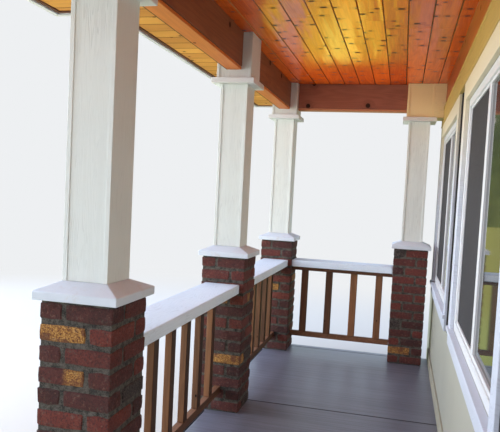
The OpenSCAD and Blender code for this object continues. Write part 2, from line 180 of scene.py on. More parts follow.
varnish_shine, floor_shine = [bpy.data.collections.new(name) for name in ("varnish_shine", "floor_shine")]
soft_lamp("open_side", (-7.5, 1.5, 3.4), (0.6, 0.6, 1.2), 11, 4, 1060, srgb(216, 230, 255))
soft_lamp("low_bounce", (-3.2, 0.8, 0.12), (0.8, 0.8, 2.6), 3, 8, 230, srgb(255, 242, 206))
soft_lamp("entry_side", (-1.6, -7.5, 2.2), (0.0, 0.0, 2.0), 4, 3, 225, srgb(234, 240, 252))
soft_lamp("wall_bounce", (1.24, 0.6, 1.5), (-1.0, 0.6, 1.5), 5, 1.8, 7, srgb(255, 236, 206), "glossy")
for name, place, target, wide, high, power, colour in (
        ("gold_ground", (-1.3, 6.6, 0.05), (-1.3, 6.6, 3.0), 3.6, 4.8, 37, srgb(255, 238, 20)),
        ("gold_band", (-1.3, 9.4, 0.70), (-1.3, 0.0, 0.70), 3.6, 1.4, 15, srgb(255, 244, 40)),
        ("gold_spot_one", (-0.46, 9.3, 0.80), (-0.46, 0.0, 0.80), 0.20, 0.6, 2.2, srgb(255, 250, 120)),
        ("gold_spot_two", (-0.13, 9.3, 0.74), (-0.13, 0.0, 0.74), 0.14, 0.5, 1.6, srgb(255, 250, 110)),
        ("gold_spot_three", (-1.28, 9.3, 0.30), (-1.28, 0.0, 0.30), 0.30, 0.5, 1.2, srgb(255, 250, 90)),
        ("pale_side", (-5.4, 8.0, 0.60), (0.0, 0.0, 1.4), 3, 3.0, 30, srgb(255, 216, 186))):
    soft_lamp(name, place, target, wide, high, power, colour, "diffuse", varnish_shine)
soft_lamp("blue_band", (-1.2, 9.0, 1.60), (-0.6, 3.0, 0.4), 7, 2.8, 90, srgb(214, 232, 255), "diffuse", floor_shine)
soft_lamp("far_warmth", (-0.4, 3.9, 0.6), (0.3, 2.2, 2.6), 3, 1.6, 50, srgb(255, 206, 120), "glossy", varnish_shine)


# Floor slab: one pour of sealed concrete with a broomed top, an open joint
# behind a kerb strip along the open edges, and two sawn control joints.
class Wire:
    """A node's output. Arithmetic on it adds Math nodes to its material."""

    def __init__(self, finish, socket):
        self.finish, self.socket = finish, socket

    def _math(self, operation, *values):
        return self.finish.node("Math", {"operation": operation}, dict(enumerate(values)))

    def __add__(self, other):
        return self._math("ADD", self, other)

    def __sub__(self, other):
        return self._math("SUBTRACT", self, other)

    def __rsub__(self, other):
        return self._math("SUBTRACT", other, self)

    def __mul__(self, other):
        return self._math("MULTIPLY", self, other)

    def __truediv__(self, other):
        return self._math("DIVIDE", self, other)

    def __abs__(self):
        return self._math("ABSOLUTE", self)

    def sine(self):
        return self._math("SINE", self)

    __radd__ = __add__
    __rmul__ = __mul__


class Finish:
    """A material on the Principled shader, with one method for every other node."""

    def __init__(self, name, roughness):
        self.material = bpy.data.materials.new(name)
        self.material.use_nodes = True
        self.tree = self.material.node_tree
        self.shader = self.tree.nodes["Principled BSDF"]
        self.shader.inputs["Roughness"].default_value = roughness

    def node(self, kind, settings=None, sockets=None, output=0):
        fed = {key: value.socket if isinstance(value, Wire) else value for key, value in (sockets or {}).items()}
        return Wire(self, add_node(self.tree, kind, settings, fed).outputs[output])

    def feed(self, socket, value):
        if isinstance(value, Wire):
            self.tree.links.new(value.socket, socket)
        else:
            socket.default_value = value

    def set(self, **sockets):
        for key, value in sockets.items():
            self.feed(self.shader.inputs[key.replace("_", " ").title()], value)

    def stored(self, name):
        """The number that the pieces store under this name."""
        return self.node("Attribute", {"attribute_name": name}, output="Fac")

    def part(self, vector, axis="X"):
        """One part of a vector."""
        return self.node("SeparateXYZ", None, {0: vector}, output=axis)

    def place(self, stretch=(1, 1, 1), shift=None):
        """Object coordinates, stretched, and moved by a number per board."""
        point = self.node("TexCoord", output="Object")
        point = self.node("VectorMath", {"operation": "MULTIPLY"}, {0: point, 1: stretch})
        if shift is not None:
            spread = self.node("CombineXYZ", None, {0: shift * 17.3, 1: shift * 29.1, 2: shift * 41.7})
            point = self.node("VectorMath", {"operation": "ADD"}, {0: point, 1: spread})
        return point

    def noise(self, scale, detail=3.0, roughness=0.5, distortion=0.0, point=None):
        """Noise over the piece, or over another point."""
        return self.node("TexNoise", None, {"Vector": point or self.place(), "Scale": scale, "Detail": detail,
                                            "Roughness": roughness, "Distortion": distortion})

    def ease(self, value, low, high):
        """0 below low, 1 above high, smooth between them."""
        return self.node("MapRange", {"interpolation_type": "SMOOTHSTEP"},
                         {"Value": value, "From Min": low, "From Max": high})

    def blend(self, mask, first, second):
        return self.node("Mix", {"data_type": "RGBA"}, {0: mask, 6: first, 7: second}, output=2)

    def paint(self, mask, first, second, **sockets):
        """Sets the colour, one or the other by the mask, and any other socket."""
        self.set(base_color=self.blend(mask, first, second), **sockets)

    def warm(self, mask, colour):
        """Turns the colour given so far to another by the mask."""
        colour_so_far = Wire(self, self.shader.inputs["Base Color"].links[0].from_socket)
        self.paint(mask, colour_so_far, colour)

    def bump(self, height, strength, distance):
        self.feed(self.shader.inputs["Normal"], self.node(
            "Bump", None, {"Height": height, "Strength": strength, "Distance": distance}))


def dress(piece, finish, slot, *nodes):
    """Gives a finished piece its material and its body and hides the CAD nodes it stands for; slot is not used."""
    piece.data.materials.clear()
    piece.data.materials.append(finish.material)
    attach(piece, "root")
    if nodes:
        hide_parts(*nodes)
    return piece


SMOOTH_BELOW, BEND_ABOVE = math.radians(35), math.radians(30)


def eased_copy(node, name, width, segments=2):
    """A copy of a CAD solid with clean faces and its arrises eased."""
    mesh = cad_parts[node].data.copy()
    mesh.materials.clear()
    piece = lone(linked(name, mesh))
    bpy.ops.object.mode_set(mode="EDIT")
    bpy.ops.mesh.select_all(action="SELECT")
    bpy.ops.mesh.remove_doubles(threshold=0.00001)
    bpy.ops.mesh.dissolve_limited(angle_limit=math.radians(1))
    bpy.ops.object.mode_set(mode="OBJECT")
    if width:
        arris = piece.modifiers.new("arris", "BEVEL")
        arris.width, arris.segments, arris.limit_method = width, segments, "ANGLE"
        arris.angle_limit = BEND_ABOVE
        bpy.ops.object.modifier_apply(modifier=arris.name)
    bpy.ops.object.shade_smooth_by_angle(angle=SMOOTH_BELOW)
    for face in piece.data.polygons:
        ring = [piece.data.vertices[index].co for index in face.vertices]
        around = sum((one - other).length for one, other in zip(ring, ring[1:] + ring[:1]))
        face.use_smooth = face.area < width * around
    return piece


concrete = Finish("sealed_concrete", 0.42)
broom = concrete.noise(1.0, 5.0, 0.6, point=concrete.place((1.6, 60, 60)))
cloud = concrete.noise(2.2, 5.0, 0.6)
speck = concrete.noise(180, 2.0)
pale_floor = concrete.blend(cloud, srgb(100, 100, 112), srgb(126, 127, 140))
pale_floor = concrete.blend(concrete.ease(speck, 0.58, 0.75) * 0.3, pale_floor, srgb(82, 78, 84))
pale_floor = concrete.blend(concrete.ease(broom, 0.42, 0.62) * 0.42, pale_floor, srgb(78, 76, 86))
SAWN_LINE, DIRT_CORE, DIRT_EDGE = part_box("pier_middle")[1].y + 0.003, 0.004, 0.013
from_line = abs(abs(concrete.part(concrete.place(), "Y")) - SAWN_LINE)
dirt = 1 - concrete.ease(from_line, DIRT_CORE, DIRT_EDGE)
concrete.paint(dirt * 0.8, pale_floor, srgb(34, 32, 34), roughness=0.30 + cloud * 0.2)
concrete.bump(broom * 0.7 + speck * 0.5, 0.35, 0.0012)
floor = dress(eased_copy("porch_slab", "floor_slab", 0.004), concrete, "concrete", "porch_slab")
floor_shine.objects.link(floor)


# Joint filler: black fibre strips stand a little below the floor in the open
# joint behind the kerb and in the two sawn joints.
def box_between(name, low, high, ease=0.0, segments=2):
    """A box from its low to its high corner, its edges eased in edit mode."""
    low, high = Vector(low), Vector(high)
    bpy.ops.mesh.primitive_cube_add(size=1, location=(low + high) / 2)
    piece = bpy.context.object
    piece.name = name
    piece.scale = high - low
    bpy.ops.object.transform_apply(location=True, rotation=False, scale=True)
    if ease:
        bpy.ops.object.mode_set(mode="EDIT")
        bpy.ops.mesh.select_all(action="SELECT")
        bpy.ops.mesh.bevel(offset=ease, segments=segments, affect="EDGES")
        bpy.ops.object.mode_set(mode="OBJECT")
    return piece


def joined(name, parts):
    """Joins parts into one piece whose place is in its mesh."""
    bpy.ops.object.select_all(action="DESELECT")
    for part in parts:
        part.select_set(True)
    bpy.context.view_layer.objects.active = parts[0]
    if len(parts) > 1:
        bpy.ops.object.join()
    parts[0].name = name
    bpy.ops.object.transform_apply(location=True, rotation=True, scale=True)
    return parts[0]


slab_low, slab_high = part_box("porch_slab")
KERB, JOINT, FILLER_LOW, FILLER_TOP = 0.063, 0.012, slab_high.z - 0.024, slab_high.z - 0.007
SLACK, FILLER_EASE = 0.0005, 0.001
FRONT_PIERS = ("pier_entry_near", "pier_entry_far", "pier_middle", "pier_far_corner")
piers = {name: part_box(name) for name in FRONT_PIERS + ("pier_wall_near", "pier_wall_far")}
front_row = [piers[name] for name in FRONT_PIERS]
filler = Finish("joint_filler", 0.85)
fibre = filler.noise(240)
filler.paint(fibre, srgb(16, 15, 15), srgb(40, 37, 35))
filler.bump(fibre, 0.5, 0.001)
strips = []
for (_, this_high), (next_low, _) in zip(front_row, front_row[1:]):
    x = slab_low.x + KERB
    strips.append(box_between("strip", (x + SLACK, this_high.y, FILLER_LOW),
                              (x + JOINT - SLACK, next_low.y, FILLER_TOP), FILLER_EASE, 1))
for y in (slab_low.y + KERB, slab_high.y - KERB - JOINT):
    strips.append(box_between("strip", (0, y + SLACK, FILLER_LOW),
                              (piers["pier_wall_far"][0].x, y + JOINT - SLACK, FILLER_TOP), FILLER_EASE, 1))
dress(joined("joint_filler_strips", strips), filler, "concrete")

# Brick piers: tumbled clay bricks a brick and a half square, laid pinwheel
# fashion so that each course shows a stretcher and a half, in grey mortar.
BRICK_L, BRICK_W, BRICK_H, COURSE, COURSES = 0.194, 0.094, 0.0663, 0.0803, 13
BRICK_ARRIS, UNEVEN, NEAR_ARRIS = 0.006, 0.0026, 0.012
CORNER_WEAR, EDGE_WEAR = (0.035, 0.05, 0.11), (0.004, 0.02, 0.03)
MORTAR_BACK, MORTAR_EASE, ODD_BRICKS = 0.006, 0.004, 0.045
HALF_TURNED, TURN_STEEPNESS = 0.4, 14
bricks_rng = random.Random(13)


def give(piece, attribute, values):
    """Stores one number per vertex on a piece, the same for all where values is a number."""
    count = len(piece.data.vertices)
    layer = piece.data.attributes.new(attribute, "FLOAT", "POINT")
    layer.data.foreach_set("value", [values] * count if isinstance(values, (int, float)) else values)
    return piece


def bevel_edges(piece, wanted, offset):
    """Bevels in edit mode the edges whose two ends are wanted."""
    mesh = lone(piece).data
    for group in (mesh.vertices, mesh.edges, mesh.polygons):
        group.foreach_set("select", [False] * len(group))
    for edge in mesh.edges:
        edge.select = wanted(*(mesh.vertices[index].co for index in edge.vertices))
    bpy.context.tool_settings.mesh_select_mode = (False, True, False)
    bpy.ops.object.mode_set(mode="EDIT")
    bpy.ops.mesh.bevel(offset=offset, segments=1, affect="EDGES")
    bpy.ops.object.mode_set(mode="OBJECT")
    return piece


def tumbled_brick(seed):
    """One brick with worn arrises and an uneven face, lying along X round the origin."""
    half = Vector((BRICK_L, BRICK_W, BRICK_H)) / 2
    brick = lone(box_between("brick", -half, half))
    bpy.ops.object.mode_set(mode="EDIT")
    bpy.ops.mesh.select_all(action="SELECT")
    bpy.ops.mesh.subdivide(number_cuts=1)
    bpy.ops.object.mode_set(mode="OBJECT")
    bevel_edges(brick, lambda one, other: sum(
        abs(abs(one[axis] + other[axis]) / 2 - half[axis]) < 0.0001 for axis in range(3)) == 2, BRICK_ARRIS)
    bpy.ops.object.mode_set(mode="EDIT")
    bpy.ops.mesh.select_all(action="SELECT")
    bpy.ops.transform.vertex_random(offset=UNEVEN, uniform=0.7, normal=0.3, seed=seed)
    bpy.ops.mesh.faces_shade_flat()
    bpy.ops.object.mode_set(mode="OBJECT")
    wear = random.Random(seed)
    smear = []
    for vertex in brick.data.vertices:
        ends = sum(abs(abs(vertex.co[axis]) - half[axis]) < NEAR_ARRIS for axis in range(3))
        for axis in range(3):
            vertex.co[axis] = max(-half[axis], min(half[axis], vertex.co[axis]))
            if ends > 1:
                vertex.co[axis] *= 1 - wear.random() * (CORNER_WEAR if ends == 3 else EDGE_WEAR)[axis]
        smear.append(1.0 if ends > 1 else 0.0)
    return give(brick, "arris", smear)


clay = Finish("tumbled_clay", 0.88)
tone, buff, clinker, arris = [clay.stored(name) for name in ("tone", "buff", "clinker", "arris")]
point = clay.place((1, 1, 1), tone)
blotch = clay.noise(16, 5.0, 0.6, point=point)
grit = clay.noise(130, 5.0, 0.7, point=point)
pits = clay.noise(300, point=point)
dents = clay.noise(38, point=point)
red = clay.node("ValToRGB", {"stops": [(0.0, srgb(50, 34, 33)), (0.3, srgb(74, 39, 36)), (0.55, srgb(92, 44, 38)),
                                       (0.8, srgb(110, 49, 39)), (1.0, srgb(132, 66, 52))]},
                {0: tone * 0.62 + blotch * 0.52 - 0.05})
red = clay.blend(clay.ease(grit, 0.48, 0.60) * 0.6, red, srgb(48, 33, 33))
red = clay.blend(clay.ease(clay.noise(64, 5.0, 0.75, point=point), 0.56, 0.66) * 0.45, red, srgb(132, 96, 84))
yellow = clay.node("ValToRGB", {"stops": [(0.34, srgb(82, 44, 30)), (0.46, srgb(138, 88, 42)),
                                          (0.56, srgb(184, 134, 62)), (0.70, srgb(208, 164, 104))]},
                   {0: clay.noise(190, 4.0, 0.65, point=point)})
yellow = clay.blend(clay.ease(blotch, 0.50, 0.62) * 0.75, yellow, srgb(98, 52, 38))
red = clay.blend(clay.ease(buff * (0.7 + blotch * 0.6), 0.42, 0.60), red, yellow)
burnt = clay.blend(clay.ease(grit, 0.42, 0.62), srgb(34, 30, 31), srgb(88, 78, 72))
red = clay.blend(clay.ease(clinker * (0.5 + blotch), 0.40, 0.6) * 0.9, red, burnt)
lime = clay.ease(clay.noise(24, 6.0, 0.75), 0.58, 0.74)
smear = clay.ease(arris + (clay.noise(70, 4.0, 0.7, point=point) - 0.5) * 0.45, 0.99, 1.10)
red = clay.blend(smear * 0.45, red, clay.blend(grit, srgb(62, 56, 52), srgb(116, 108, 98)))
clay.paint(lime * 0.3, red, srgb(134, 124, 116), roughness=0.78 + grit * 0.2)
clay.bump(grit * 0.9 + pits * 0.4 + dents * 1.3, 1.0, 0.0055)

mortar = Finish("grey_mortar", 0.95)
sand = mortar.noise(230, 4.0, 0.7)
lumps = mortar.noise(46, 4.0, 0.6)
mortar.paint(mortar.ease(sand * 0.5 + lumps * 0.5, 0.36, 0.62), srgb(34, 32, 30), srgb(98, 92, 83))
mortar.bump(sand * 0.5 + lumps, 0.9, 0.006)

brick_kinds = [tumbled_brick(seed) for seed in range(5)]
SPECIAL = {("pier_entry_far", 2, 0): ("buff", "all"), ("pier_entry_far", 4, 0): ("buff", "end"),
           ("pier_entry_far", 5, 3): ("clinker", "all"), ("pier_middle", 9, 0): ("buff", "all"),
           ("pier_middle", 4, 1): ("buff", "end"), ("pier_far_corner", 6, 0): ("buff", "all"),
           ("pier_middle", 9, 3): ("clinker", "all"), ("pier_far_corner", 2, 3): ("clinker", "all")}
for name, (low, high) in piers.items():
    centre = (low + high) / 2
    parts = []
    for row in range(1, COURSES + 1):
        z = high.z - (row - 0.5) * COURSE
        for side in range(4):
            kind = bricks_rng.choice(brick_kinds)
            brick = linked("brick", kind.data.copy())
            special = SPECIAL.get((name, row, side), ("", ""))
            if not special[0] and bricks_rng.random() < ODD_BRICKS:
                special = (bricks_rng.choice(("buff", "clinker")), "all")
            share = 1.0 if special[1] == "all" else [
                max(0.0, min(1.0, HALF_TURNED + TURN_STEEPNESS * vertex.co.x)) for vertex in brick.data.vertices]
            give(brick, "tone", bricks_rng.random())
            for other_clay in ("buff", "clinker"):
                give(brick, other_clay, share if special[0] == other_clay else 0.0)
            offset = Vector((BRICK_L - (high.x - low.x), BRICK_W - (high.y - low.y), 0)) / 2
            turned = Matrix.Rotation(side * math.pi / 2, 4, "Z") @ Matrix.Translation(offset)
            if row % 2:
                turned = Matrix.Diagonal((-1, 1, 1, 1)) @ turned
            brick.data.transform(Matrix.Translation((centre.x, centre.y, z)) @ turned)
            if row % 2:
                brick.data.flip_normals()
            parts.append(brick)
    back = Vector((MORTAR_BACK, MORTAR_BACK, 0))
    dress(joined(name + "_bricks", parts), clay, "brick", name)
    dress(box_between(name + "_mortar", low + back, high - back, MORTAR_EASE), mortar, "brick")
for kind in brick_kinds:
    bpy.data.objects.remove(kind)

# Pier caps: cast blocks painted white, with an upright edge and four slopes up
# to the column's foot, bedded on the top course. The slopes carry rust marks.
cap_paint = Finish("cap_paint", 0.55)
stain = cap_paint.noise(7, 5.0, 0.65)
fine = cap_paint.noise(120)
base = cap_paint.blend(stain, srgb(200, 208, 216), srgb(219, 226, 234))
rust = cap_paint.ease(cap_paint.noise(5.5, 6.0, 0.7), 0.56, 0.72)
cap_paint.paint(rust * 0.4, base, srgb(186, 150, 112), roughness=0.48 + fine * 0.15)
cap_paint.bump(fine, 0.2, 0.001)
dress(eased_copy("pier_caps", "cast_caps", 0.0035, 3), cap_paint, "cap_stone", "pier_caps")


# Columns: boxed posts of white painted boards with an embossed grain; the
# boards of the plain faces overlap the sunk ones and show as edge strips.
def darker(colour, share):
    """A share of a linear colour."""
    return tuple(part * share for part in colour[:3]) + (1,)


def grained_paint(name, light, shade, along, gloss=0.5):
    """Painted board embossed with a fine woodgrain; along is the stretch of the grain."""
    finish = Finish(name, gloss)
    figure = finish.noise(0.13, 2.0, 0.5, 0.2, point=finish.place(along))
    lines = (figure * 150).sine()
    fine = finish.noise(1.6, 3.0, 0.6, point=finish.place(along))
    patch = finish.ease(finish.noise(5.0), 0.40, 0.62)
    broad = finish.noise(2.4, 4.0)
    groove = finish.ease(lines * 0.5 + fine * 0.9, 0.62, 1.0) * (0.35 + patch * 0.65)
    body = finish.blend(broad, light, shade)
    finish.paint(groove * 0.26, body, darker(shade, 0.6), roughness=gloss + broad * 0.12)
    finish.bump(1 - groove, 0.5, 0.0016)
    return finish


white_boards = grained_paint("white_boards", srgb(224, 228, 222), srgb(214, 219, 213), (170, 170, 6))
dress(eased_copy("front_columns", "garden_columns", 0.0015), white_boards, "white_paint", "front_columns")
dress(eased_copy("wall_columns", "house_columns", 0.0015), white_boards, "white_paint", "wall_columns")

# Capitals, head blocks and boxes: a flat projecting slab on the column, then
# a square block of boards up to the ceiling, and a box from it to the house.
white_trim = grained_paint("white_trim", srgb(220, 222, 222), srgb(210, 213, 212), (9, 9, 120), 0.45)
dress(eased_copy("column_capitals", "capitals", 0.0025, 3), white_trim, "white_paint", "column_capitals")
head_paint = grained_paint("head_paint", srgb(214, 217, 213), srgb(204, 208, 203), (170, 170, 6))
# Painted light: the head blocks turn cream towards the house, and the boxes to the house are cream all over. This
# stands in for warm light thrown down from the ceiling.
GLOW_FROM, GLOW_FULL, CEILING_GLOW = 0.5, 0.6, srgb(242, 222, 168)
head_paint.warm(head_paint.ease(head_paint.part(head_paint.place()), GLOW_FROM, GLOW_FULL), CEILING_GLOW)
dress(eased_copy("head_blocks", "head_boards", 0.0015), head_paint, "white_paint", "head_blocks")
ceiling_glow_boards = grained_paint("ceiling_glow_boards", CEILING_GLOW, srgb(233, 213, 160), (9, 9, 120), 0.45)
dress(eased_copy("wall_head_boxes", "head_box_boards", 0.0015), ceiling_glow_boards, "white_paint", "wall_head_boxes")


# Beams: solid timber lintels boxed in dark stained boards, with a board planted
# on the underside, stained paler as painted light from below, and a dark lip along its outer edge as a painted shadow
# line.
def stained_wood(name, dark, light, along, knot, roughness=0.5, spread=0.35, share=0.6, wave=0.0, house_side_shade=0.0):
    """Stained board. along is the grain's axis; knot is the knots' spacing across and along the board, and
    their reach across and along it; spread is how much the boards differ; share is how many knots show;
    wave is the hollow of the faces; the last is the share of painted shade on the faces towards the house."""
    axis = "XYZ".index(along)
    finish = Finish(name, roughness)
    tone = finish.stored("tone")
    across, step, broad, long = knot
    point = finish.place((1, 1, 1), tone)
    reach = [finish.part(point, letter) for letter in "XYZ"]
    run = reach.pop(axis)
    cell = finish.node("CombineXYZ", None, {0: (reach[0] + reach[1]) / across, 1: run / step})
    centre, draw = [finish.node("TexVoronoi", {"voronoi_dimensions": "2D"},
                                {"Vector": cell, "Scale": 1.0, "Randomness": 0.85}, output)
                    for output in ("Position", "Color")]
    draw = finish.node("SeparateColor", None, {0: draw})
    off = finish.node("VectorMath", {"operation": "SUBTRACT"}, {0: cell, 1: centre})
    off = finish.node("VectorMath", {"operation": "MULTIPLY"}, {0: off, 1: (across / broad, step / long, 0)})
    off = finish.node("VectorMath", {"operation": "LENGTH"}, {0: off}, "Value") / (0.55 + draw / share * 0.45)
    has_knot = 1 - finish.ease(draw, share - 0.01, share + 0.01)
    knot_mask = (1 - finish.ease(off, 0.85, 1.0)) * has_knot
    halo = (1 - finish.ease(off, 0.9, 3.4)) * has_knot
    wide, fine, hollow = [8.0] * 3, [230.0] * 3, [11.0] * 3
    wide[axis], fine[axis], hollow[axis] = 0.5, 5.0, 0.9
    figure = finish.noise(1.0, 3.0, 0.5, 0.3, point=finish.place(tuple(wide), tone))
    rings = ((figure + halo * 0.08) * 80).sine()
    fibre = finish.noise(1.0, 3.0, 0.6, point=finish.place(tuple(fine), tone))
    swell = finish.noise(1.0, 2.0, 0.5, point=finish.place(tuple(hollow), tone))
    mask = 0.5 + rings * 0.10 + (fibre - 0.5) * 0.7 + (swell - 0.5) * 0.5 + (tone - 0.5) * spread * 2
    mask = finish.node("Clamp", None, {0: mask})
    body = finish.blend(mask, dark, light)
    body = finish.blend(halo * 0.5, body, dark)
    body = finish.blend(knot_mask * 0.96, body, darker(dark, 0.07))
    # Painted shade: the faces towards the house are darkened by a share.
    normal = finish.node("NewGeometry", output="Normal")
    body = finish.blend(finish.ease(finish.part(normal), 0.5, 0.9) * house_side_shade, body, darker(dark, 0.18))
    # Painted shade: faces that slant between upright and flat are darkened. These are the V chamfers between boards
    # and the eased arrises.
    facing = abs(finish.part(normal, "Z"))
    chamfer_shade = finish.ease(facing, 0.40, 0.55) * (1 - finish.ease(facing, 0.86, 0.97))
    body = finish.blend(chamfer_shade * 0.6, body, darker(dark, 0.12))
    finish.set(base_color=body, roughness=roughness + fibre * 0.12 + knot_mask * 0.7)
    finish.bump(fibre * 0.5 + rings * 0.08 - knot_mask * 0.5 + swell * wave, 0.25, 0.0012)
    return finish


beam_stain_y = stained_wood("beam_stain_along", srgb(104, 58, 36), srgb(164, 100, 64), "Y",
                            (0.30, 0.62, 0.022, 0.022), 0.5, 0.3, 0.85)
beam_stain_x = stained_wood("beam_stain_across", srgb(116, 62, 46), srgb(174, 104, 80), "X",
                            (0.26, 0.50, 0.024, 0.024), 0.5, 0.3, 0.9)
UNDER_T, UNDER_BACK, SHADOW_LINE, LAP = 0.018, 0.004, 0.003, 0.002
beam_rng = random.Random(7)
under_boards, shadow_lips = [], []
for name, finish, lengthwise in (("entry_beam", beam_stain_y, True), ("middle_beam", beam_stain_y, True),
                                 ("far_beam", beam_stain_y, True), ("near_end_beam", beam_stain_x, False),
                                 ("far_end_beam", beam_stain_x, False)):
    low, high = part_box(name)
    inner = Vector((UNDER_BACK, 0, 0) if lengthwise else (0, UNDER_BACK, 0))
    body = box_between(name + "_boards", low + Vector((0, 0, UNDER_T + SHADOW_LINE)), high, 0.0025)
    dress(give(body, "tone", 0.35 + 0.3 * beam_rng.random()), finish, "dark_stain", name)
    board = box_between("under", low + inner, Vector((high.x, high.y, low.z + UNDER_T)) - inner, 0.002)
    web = box_between("web", low + inner * 3 + Vector((0, 0, UNDER_T - LAP)),
                      Vector((high.x, high.y, low.z + UNDER_T + SHADOW_LINE + LAP)) - inner * 3)
    for part in (board, web):
        give(part, "tone", 0.4 + 0.3 * beam_rng.random())
    under_boards.append((joined(name + "_underside", [board, web]), lengthwise))
    # Painted shadow: a dark lip along the underside's outer edge stands for the shadow between beam and soffit.
    if lengthwise:
        lip_high = (low.x + UNDER_BACK * 2, high.y, low.z + UNDER_T + SHADOW_LINE + 0.001)
        shadow_lips.append(give(box_between("lip", low, lip_high, 0.001, 1), "tone", 0.0))
# Painted light: the underside boards are stained much paler than the beams, standing in for light thrown up from
# below.
lit_under_y = stained_wood("underside_lit_stain_along", srgb(184, 92, 30), srgb(228, 136, 54), "Y",
                            (0.2, 0.4, 0.009, 0.012))
lit_under_x = stained_wood("underside_lit_stain_across", srgb(158, 92, 62), srgb(206, 138, 100), "X",
                            (0.2, 0.4, 0.009, 0.012))
for piece, lengthwise in under_boards:
    dress(piece, lit_under_y if lengthwise else lit_under_x, "dark_stain")
# Painted shadow: the lips are stained nearly black.
lip_shadow_paint = stained_wood("lip_shadow_paint", srgb(30, 18, 14), srgb(58, 36, 26), "Y", (0.2, 0.5, 0.005, 0.008), 0.6)
dress(joined("beam_shadow_lips", shadow_lips), lip_shadow_paint, "dark_stain")

# Railing: a wide flat cap painted white over a dark subrail, stained balusters
# nailed broad side to the rail's line, and a bottom rail clear of the floor.
# Painted light: the caps' white is tinted blue and brighter than the other white paint, standing in for skylight on
# them.
sky_tinted_rail_paint = grained_paint("sky_tinted_rail_paint", srgb(234, 246, 255), srgb(224, 237, 250), (90, 9, 90), 0.45)
dress(eased_copy("rail_caps", "white_rail_caps", 0.006, 3), sky_tinted_rail_paint, "white_paint", "rail_caps")
sub_stain = stained_wood("subrail_stain", srgb(84, 48, 30), srgb(128, 80, 50), "Y", (0.2, 0.5, 0.007, 0.010), 0.6)
piece = eased_copy("subrails", "stained_subrails", 0.003)
dress(give(piece, "tone", 0.4), sub_stain, "dark_stain", "subrails")
BOTTOM_RAIL_H, BALUSTER_FACE, BALUSTER_T = 0.047, 0.062, 0.038
# Painted shade: the bottom rail's faces towards the house are darkened.
rail_stain = stained_wood("bottom_rail_stain", srgb(84, 50, 30), srgb(150, 102, 70), "Y",
                          (0.2, 0.5, 0.009, 0.012), 0.6, house_side_shade=0.45)
piece = eased_copy("bottom_rails", "stained_bottom_rails", 0.003)
rail_low, rail_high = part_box("bottom_rails")
for vertex in piece.data.vertices:
    if vertex.co.z < (rail_low.z + rail_high.z) / 2:
        vertex.co.z += rail_high.z - rail_low.z - BOTTOM_RAIL_H
dress(give(piece, "tone", 0.5), rail_stain, "rail_wood", "bottom_rails")
# Painted shade: the balusters' faces towards the house are darkened.
baluster_stain = stained_wood("baluster_stain", srgb(80, 48, 28), srgb(148, 98, 60), "Z",
                              (0.1, 0.6, 0.006, 0.010), 0.58, 0.4, house_side_shade=0.75)
tone_rng = random.Random(21)
for node in ("balusters_middle_bay", "balusters_far_bay", "balusters_near_end", "balusters_far_end"):
    piece = eased_copy(node, node + "_eased", 0.003)
    run, depth = (0, 1) if "end" in node else (1, 0)
    low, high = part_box(node)
    middle, side = (low[depth] + high[depth]) / 2, high[depth] - low[depth]
    tones, values = {}, []
    for start in sorted(vertex.co[run] for vertex in piece.data.vertices):
        if not tones or start > max(tones) + side * 1.1:
            tones[start] = tone_rng.random()
    for vertex in piece.data.vertices:
        start = max(key for key in tones if key <= vertex.co[run])
        centre = start + side / 2
        vertex.co[run] = centre + (vertex.co[run] - centre) * BALUSTER_FACE / side
        vertex.co[depth] = middle + (vertex.co[depth] - middle) * BALUSTER_T / side
        values.append(tones[start])
    dress(give(piece, "tone", values), baluster_stain, "rail_wood", node)

# Ceiling: tongue-and-groove pine boards along the porch, nailed up and
# varnished, each with a V at its edges and butt joints out of step.
CEILING_LOW, CEILING_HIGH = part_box("ceiling")
BOARD_COVER, BOARD_GAP, BOARD_T, V_DEPTH, BACKING_LAP = 0.137, 0.0020, 0.014, 0.0035, 0.001
FIRST_SEAM, NARROWEST, BUTT_RUN, BUTT_DRAW = 0.12 - 3 * BOARD_COVER, 0.01, 6.6, 0.28


def v_board(low, high):
    """A board along Y whose lower long edges are chamfered to leave a V."""
    middle_z = (low[2] + high[2]) / 2
    return bevel_edges(box_between("board", low, high), lambda one, other: (
        abs((other - one).normalized().y) > 0.9 and (one.z + other.z) / 2 < middle_z), V_DEPTH)


ceiling_rng = random.Random(5)
parts, seam = [], FIRST_SEAM
while seam < CEILING_HIGH.x:
    x0, x1 = max(seam + BOARD_GAP / 2, CEILING_LOW.x), min(seam + BOARD_COVER - BOARD_GAP / 2, CEILING_HIGH.x)
    seam += BOARD_COVER
    if x1 - x0 < NARROWEST:
        continue
    butts = sorted([CEILING_LOW.y, CEILING_HIGH.y]
                   + [CEILING_LOW.y + BUTT_RUN * (ceiling_rng.random() * BUTT_DRAW + part) for part in (0.1, 0.62)])
    for y0, y1 in zip(butts, butts[1:]):
        board = v_board((x0, y0 + BOARD_GAP / 2, CEILING_LOW.z), (x1, y1 - BOARD_GAP / 2, CEILING_LOW.z + BOARD_T))
        parts.append(give(board, "tone", ceiling_rng.random()))
varnished_pine = stained_wood("varnished_pine", srgb(172, 58, 8), srgb(240, 108, 13), "Y",
                              (0.125, 0.19, 0.024, 0.015), 0.17, 0.16, 0.85, 26.0)
ceiling = dress(joined("ceiling_boards", parts), varnished_pine, "pine_boards", "ceiling")
varnish_shine.objects.link(ceiling)
# Painted shade: a near-black sheet behind the boards stands for the shade seen through the seams.
backing = box_between("ceiling_backing", (CEILING_LOW.x, CEILING_LOW.y, CEILING_LOW.z + BOARD_T - BACKING_LAP),
                      CEILING_HIGH)
seam_shadow_sheet = Finish("seam_shadow_sheet", 0.9)
seam_shadow_sheet.paint(seam_shadow_sheet.noise(30), srgb(24, 14, 10), srgb(46, 27, 18))
dress(backing, seam_shadow_sheet, "pine_boards")

